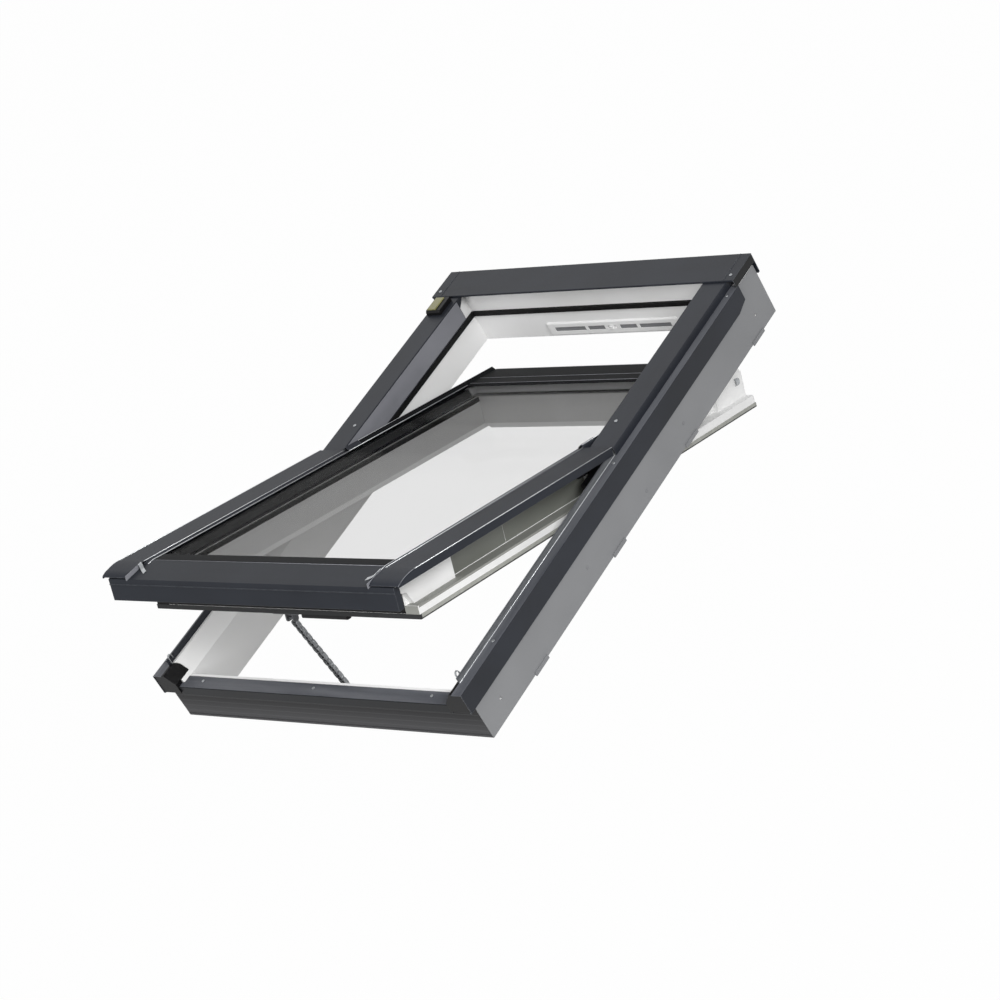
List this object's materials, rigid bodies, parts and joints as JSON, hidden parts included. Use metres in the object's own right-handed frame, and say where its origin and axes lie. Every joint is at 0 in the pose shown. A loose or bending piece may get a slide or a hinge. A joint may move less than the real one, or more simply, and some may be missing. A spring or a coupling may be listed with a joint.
{
  "type": "roof window",
  "caption": "Centre-pivot roof window with a white plastic frame, anthracite sheet cladding and a chain opener, shown with its sash swung open.",
  "frame": {"origin": "middle of the frame on its room-side plane", "axes": "+X across the window to the right seen from outside with the top up, +Y up the roof slope, +Z out of the roof"},
  "size_m": [0.79, 1.202, 0.5124],
  "materials": {
    "white_pvc": "white moulded plastic, satin",
    "grey_pvc_skin": "grey plastic skin, matt",
    "dark_pvc_skin": "dark grey plastic skin, matt",
    "grey_rubber": "grey rubber rim",
    "black_rubber": "black rubber seal",
    "anthracite_sheet": "anthracite coated aluminium sheet, fine satin",
    "black_plastic": "black plastic",
    "aluminium_bead": "plain extruded aluminium",
    "dark_steel": "black-coated steel",
    "zinc_steel": "zinc-plated steel",
    "screw_metal": "coated fastener heads",
    "pane_glass": "clear float glass",
    "sensor_gold": "pale gold sensor surface"
  },
  "bodies": {
    "frame": {"bottom_cladding": "anthracite_sheet", "bottom_rail": "white_pvc", "bottom_rivets": "screw_metal", "bottom_skin": "dark_pvc_skin", "cladding_screws": "screw_metal", "cover_brackets": "zinc_steel", "frame_gasket": "black_rubber", "hinge_pins": "zinc_steel", "hood_apron": "anthracite_sheet", "hood_brackets": "zinc_steel", "hood_ends": "anthracite_sheet", "insect_mesh": "black_plastic", "left_end_plug": "black_plastic", "left_hinge_plate": "dark_steel", "left_jamb": "white_pvc", "left_side_cladding": "anthracite_sheet", "left_side_skin": "grey_pvc_skin", "left_upper_cover": "anthracite_sheet", "lining_clips": "zinc_steel", "lower_seal": "black_rubber", "opener_housing": "white_pvc", "push_chain": "zinc_steel", "rain_sensor": "black_plastic", "right_end_plug": "black_plastic", "right_hinge_plate": "dark_steel", "right_jamb": "white_pvc", "right_side_cladding": "anthracite_sheet", "right_side_skin": "grey_pvc_skin", "right_upper_cover": "anthracite_sheet", "sensor_pad": "sensor_gold", "side_screws": "screw_metal", "top_hood": "anthracite_sheet", "top_rail": "white_pvc", "top_skin": "grey_pvc_skin", "vent_grille": "white_pvc"},
    "sash": {"left_stile": "white_pvc", "right_stile": "white_pvc", "sash_bottom_rail": "white_pvc", "sash_top_rail": "white_pvc", "sash_rim_seal": "grey_rubber", "inner_glazing_seal": "black_rubber", "inner_pane": "pane_glass", "glass_spacer": "aluminium_bead", "outer_pane": "pane_glass", "outer_glazing_seal": "black_rubber", "left_lower_cover": "anthracite_sheet", "right_lower_cover": "anthracite_sheet", "bottom_cover": "anthracite_sheet", "top_strip": "anthracite_sheet", "left_glazing_bead": "anthracite_sheet", "right_glazing_bead": "anthracite_sheet", "left_corner_cap": "white_pvc", "right_corner_cap": "white_pvc", "left_upper_cap": "white_pvc", "right_upper_cap": "white_pvc", "left_sash_hinge": "dark_steel", "right_sash_hinge": "dark_steel", "chain_bracket": "zinc_steel", "grip_bar": "black_plastic"},
    "vent_slider": {"vent_slider": "white_pvc"}
  },
  "joints": [
    {"name": "sash_pivot", "type": "hinge", "parent": "frame", "child": "sash", "pos_m": [0, 0, 0.126], "axis": [1, 0, 0], "range_deg": [0, 21.27], "deforming": ["push_chain"]},
    {"name": "vent_slide", "type": "slide", "parent": "frame", "child": "vent_slider", "axis": [1, 0, 0], "range_m": [-0.006, 0.006]}
  ]
}
